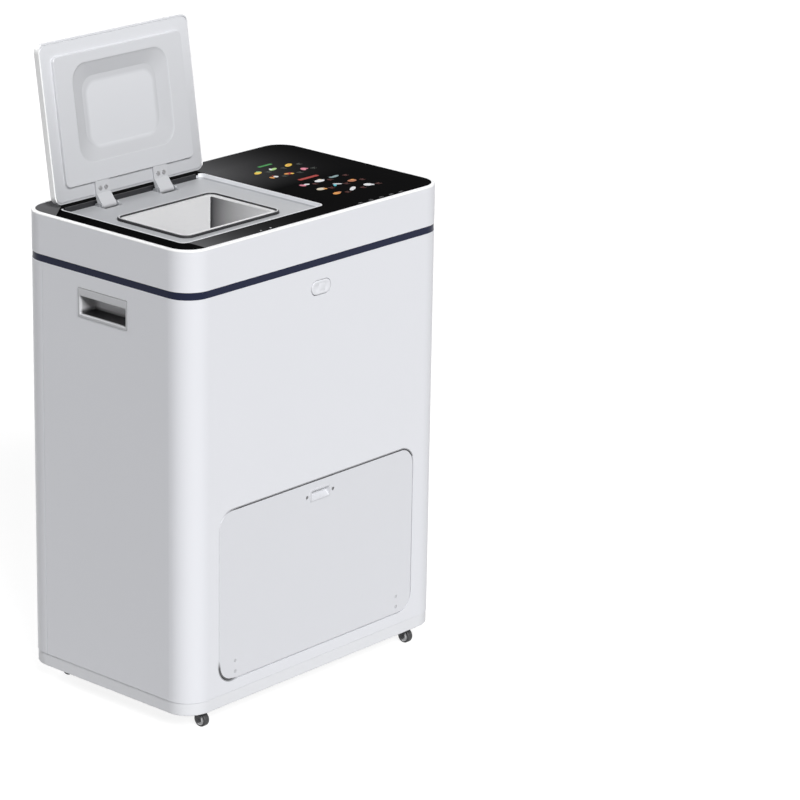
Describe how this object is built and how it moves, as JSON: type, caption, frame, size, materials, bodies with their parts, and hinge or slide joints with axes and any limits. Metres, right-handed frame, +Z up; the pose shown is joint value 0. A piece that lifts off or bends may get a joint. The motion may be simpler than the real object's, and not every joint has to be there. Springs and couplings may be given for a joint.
{
  "type": "electric food waste composter",
  "caption": "Upright electric food waste composter on casters: lidded inlet and touch controls in a glass top, stirred heated chamber with odour filter, and a compost drawer in front.",
  "frame": {"origin": "on the floor, under the middle of the cabinet, with all casters standing on it", "axes": "+Z up, -Y out of the front with the drawer, +X to the right as seen from the front"},
  "size_m": [0.4916, 0.3083, 0.8684],
  "materials": {
    "casing": "satin, cool white",
    "base_plastic": "satin, light grey",
    "stripe": "gloss, navy",
    "black_glass": "polished, back-printed black",
    "circuit_board": "solder mask, green",
    "deck_plastic": "satin, light grey",
    "seal_rubber": "matte, dark grey",
    "black_plastic": "satin, black",
    "bracket_steel": "zinc-grey coated",
    "pin_steel": "turned",
    "screw_steel": "plated",
    "grey_plastic": "satin, mid grey",
    "stainless": "brushed stainless",
    "heater_mat": "silicone, red-brown",
    "bearing_plastic": "natural white",
    "motor_paint": "satin, dark grey",
    "supply_case": "bare sheet",
    "duct_plastic": "satin, dark grey",
    "filter_media": "activated carbon fleece",
    "liner_plastic": "satin, light grey",
    "gear_plastic": "natural nylon",
    "bin_plastic": "satin, grey",
    "rocker_plastic": "gloss, black",
    "fork_plastic": "satin, black",
    "wheel_rubber": "matte, black"
  },
  "bodies": {
    "cabinet": {"base_pan": "base_plastic", "button_housing": "black_plastic", "button_spring": "pin_steel", "caster_plates": "bracket_steel", "chamber": "stainless", "control_board": "circuit_board", "cover_screws": "screw_steel", "discharge_chute": "stainless", "drawer_rails": "bracket_steel", "exhaust_duct": "duct_plastic", "fan_housing": "black_plastic", "feed_throat": "stainless", "filter_cartridge": "filter_media", "filter_housing": "duct_plastic", "front_shell": "casing", "gate_actuator": "motor_paint", "gearmotor": "motor_paint", "glass_panel": "black_glass", "handle_cups": "grey_plastic", "heater_pads": "heater_mat", "hinge_brackets": "bracket_steel", "hinge_cover": "black_plastic", "hinge_pins": "pin_steel", "inlet_deck": "deck_plastic", "inlet_seal": "seal_rubber", "inner_frame": "bracket_steel", "main_board": "circuit_board", "motor_bracket": "bracket_steel", "power_inlet": "black_plastic", "power_supply": "supply_case", "rear_cover": "casing", "shaft_bearings": "bearing_plastic", "stripe_band": "stripe", "top_housing": "casing"},
    "lid": {"lid_cover": "casing", "lid_liner": "liner_plastic", "lid_arms": "grey_plastic", "lid_screws": "screw_steel"},
    "stirrer": {"stir_shaft": "pin_steel", "stir_paddles": "stainless", "drive_gear": "gear_plastic"},
    "pinion": {"motor_pinion": "pin_steel"},
    "gate": {"discharge_gate": "stainless"},
    "drawer": {"drawer_front": "casing", "drawer_bin": "bin_plastic", "drawer_pull": "casing", "drawer_screws": "screw_steel", "drawer_runners": "bearing_plastic"},
    "fan": {"fan_rotor": "black_plastic"},
    "button": {"front_button": "casing"},
    "rocker": {"switch_rocker": "rocker_plastic"},
    "service_door": {"filter_door": "casing"},
    "fork_front_left": {"caster_fork_front_left": "fork_plastic"},
    "wheel_front_left": {"caster_wheel_front_left": "wheel_rubber"},
    "fork_front_right": {"caster_fork_front_right": "fork_plastic"},
    "wheel_front_right": {"caster_wheel_front_right": "wheel_rubber"},
    "fork_rear_left": {"caster_fork_rear_left": "fork_plastic"},
    "wheel_rear_left": {"caster_wheel_rear_left": "wheel_rubber"},
    "fork_rear_right": {"caster_fork_rear_right": "fork_plastic"},
    "wheel_rear_right": {"caster_wheel_rear_right": "wheel_rubber"}
  },
  "joints": [
    {"name": "lid_hinge", "type": "hinge", "parent": "cabinet", "child": "lid", "pos_m": [-0.085, 0.101, 0.6495], "axis": [1, 0, 0], "range_deg": [0, 98.5]},
    {"name": "drawer_slide", "type": "slide", "parent": "cabinet", "child": "drawer", "axis": [0, -1, 0], "range_m": [0, 0.18]},
    {"name": "stir_spin", "type": "hinge", "parent": "cabinet", "child": "stirrer", "pos_m": [-0.08, -0.015, 0.44], "axis": [1, 0, 0], "continuous": true},
    {"name": "pinion_spin", "type": "hinge", "parent": "cabinet", "child": "pinion", "pos_m": [0.061, -0.015, 0.376], "axis": [1, 0, 0], "continuous": true},
    {"name": "gate_slide", "type": "slide", "parent": "cabinet", "child": "gate", "axis": [0, -1, 0], "range_m": [0, 0.07]},
    {"name": "fan_spin", "type": "hinge", "parent": "cabinet", "child": "fan", "pos_m": [0.12, 0.06, 0.5837], "axis": [0, 0, 1], "continuous": true},
    {"name": "button_press", "type": "slide", "parent": "cabinet", "child": "button", "axis": [0, 1, 0], "range_m": [0, 0.002], "stiffness_N_per_m": 500, "springref_m": -0.001, "deforming": ["button_spring"]},
    {"name": "power_switch", "type": "hinge", "parent": "cabinet", "child": "rocker", "pos_m": [0.181, 0.151, 0.11], "axis": [-1, 0, 0], "range_deg": [0, 14]},
    {"name": "filter_door_hinge", "type": "hinge", "parent": "cabinet", "child": "service_door", "pos_m": [0.07365, 0.15175, 0.5267], "axis": [0, 0, 1], "range_deg": [0, 90]},
    {"name": "swivel_front_left", "type": "hinge", "parent": "cabinet", "child": "fork_front_left", "pos_m": [-0.201, -0.126, 0.026], "axis": [0, 0, 1], "continuous": true},
    {"name": "roll_front_left", "type": "hinge", "parent": "fork_front_left", "child": "wheel_front_left", "pos_m": [-0.201, -0.134, 0.01], "axis": [1, 0, 0], "continuous": true},
    {"name": "swivel_front_right", "type": "hinge", "parent": "cabinet", "child": "fork_front_right", "pos_m": [0.201, -0.126, 0.026], "axis": [0, 0, 1], "continuous": true},
    {"name": "roll_front_right", "type": "hinge", "parent": "fork_front_right", "child": "wheel_front_right", "pos_m": [0.201, -0.134, 0.01], "axis": [1, 0, 0], "continuous": true},
    {"name": "swivel_rear_left", "type": "hinge", "parent": "cabinet", "child": "fork_rear_left", "pos_m": [-0.201, 0.126, 0.026], "axis": [0, 0, 1], "continuous": true},
    {"name": "roll_rear_left", "type": "hinge", "parent": "fork_rear_left", "child": "wheel_rear_left", "pos_m": [-0.201, 0.118, 0.01], "axis": [1, 0, 0], "continuous": true},
    {"name": "swivel_rear_right", "type": "hinge", "parent": "cabinet", "child": "fork_rear_right", "pos_m": [0.201, 0.126, 0.026], "axis": [0, 0, 1], "continuous": true},
    {"name": "roll_rear_right", "type": "hinge", "parent": "fork_rear_right", "child": "wheel_rear_right", "pos_m": [0.201, 0.118, 0.01], "axis": [1, 0, 0], "continuous": true}
  ],
  "couplings": [
    {"joint": "pinion_spin", "follows": "stir_spin", "ratio": -3}
  ]
}
